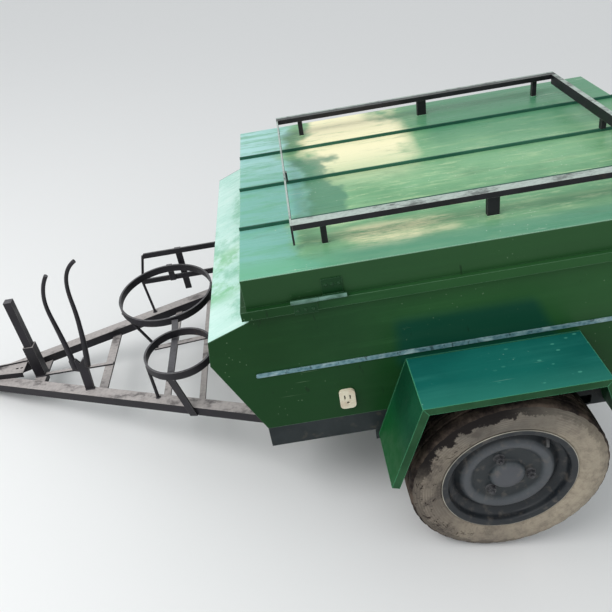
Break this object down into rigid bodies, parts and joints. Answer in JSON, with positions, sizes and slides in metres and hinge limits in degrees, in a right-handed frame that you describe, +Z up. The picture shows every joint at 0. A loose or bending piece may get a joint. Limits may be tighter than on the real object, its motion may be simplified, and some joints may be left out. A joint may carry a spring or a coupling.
{
  "type": "camp kitchen box trailer",
  "caption": "Single-axle green steel box trailer with side-opening lid, roof rack, gas bottle hoops, forked carrier and A-frame drawbar, parked on its coupling.",
  "frame": {"origin": "middle of the outer box's footprint on the ground", "axes": "+X rearward, +Y to the trailer's right, +Z up; the trailer is parked nose down by 12.47 degrees"},
  "size_m": [2.2624, 1.38, 1.0621],
  "materials": {
    "green_paint": "glossy hand-brushed green enamel",
    "black_paint": "worn black enamel",
    "chassis_paint": "dull dark paint",
    "galvanised": "dull zinc",
    "wheel_steel": "dusty dark grey paint",
    "tyre_rubber": "dusty rubber",
    "socket_plastic": "off-white plastic",
    "lamp_plastic": "red lens"
  },
  "bodies": {
    "trailer": {"chassis_front_crossmember": "chassis_paint", "chassis_rear_crossmember": "chassis_paint", "chassis_mid_crossmembers": "chassis_paint", "drawbar_crossbars": "black_paint", "bottle_strap": "black_paint", "leg_brace": "black_paint", "coupling_head": "black_paint", "leg_sleeve": "black_paint", "axle_beam": "chassis_paint", "spring_hangers": "chassis_paint", "nose_header_panel": "green_paint", "nose_top_panel": "green_paint", "nose_face_panel": "green_paint", "nose_under_panel": "green_paint", "floor_panel": "green_paint", "rear_panel": "green_paint", "rim_sides": "green_paint", "rim_ends": "green_paint", "side_strips": "galvanised", "power_socket": "socket_plastic", "bottle_hoop_large": "black_paint", "bottle_hoop_small": "black_paint", "bottle_guard": "black_paint", "carrier_fork": "black_paint", "hinge_lower_leaves": "green_paint", "lock_tab_body": "green_paint", "tail_lamps": "lamp_plastic", "chassis_rail_right": "chassis_paint", "chassis_rail_left": "chassis_paint", "drawbar_beam_right": "black_paint", "drawbar_beam_left": "black_paint", "leaf_spring_right": "chassis_paint", "leaf_spring_left": "chassis_paint", "side_panel_right": "green_paint", "side_panel_left": "green_paint", "mudguard_front_right": "green_paint", "mudguard_front_left": "green_paint", "mudguard_top_right": "green_paint", "mudguard_top_left": "green_paint", "mudguard_rear_right": "green_paint", "mudguard_rear_left": "green_paint"},
    "wheel_left": {"tyre_left": "tyre_rubber", "wheel_disc_left": "wheel_steel", "hub_left": "wheel_steel"},
    "wheel_right": {"tyre_right": "tyre_rubber", "wheel_disc_right": "wheel_steel", "hub_right": "wheel_steel"},
    "lid": {"lid_top": "green_paint", "lid_seams": "green_paint", "lid_sides": "green_paint", "lid_ends": "green_paint", "hinge_upper_leaves": "green_paint", "lock_tab_lid": "green_paint", "rack_rail_left": "black_paint", "rack_rail_right": "black_paint", "rack_posts": "black_paint", "rack_end_bars": "black_paint"},
    "prop_leg": {"prop_leg": "black_paint"}
  },
  "joints": [
    {"name": "wheel_left_spin", "type": "hinge", "parent": "trailer", "child": "wheel_left", "pos_m": [0.54177, -0.6, 0.267], "axis": [0, 1, 0], "continuous": true},
    {"name": "wheel_right_spin", "type": "hinge", "parent": "trailer", "child": "wheel_right", "pos_m": [0.54177, 0.6, 0.267], "axis": [0, 1, 0], "continuous": true},
    {"name": "lid_hinge", "type": "hinge", "parent": "trailer", "child": "lid", "pos_m": [0.00927, -0.514, 0.72996], "axis": [0.9764, 0, 0.2159], "range_deg": [0, 105]},
    {"name": "prop_leg_slide", "type": "slide", "parent": "trailer", "child": "prop_leg", "axis": [0.2159, 0, -0.9764], "range_m": [0, 0.15]}
  ]
}
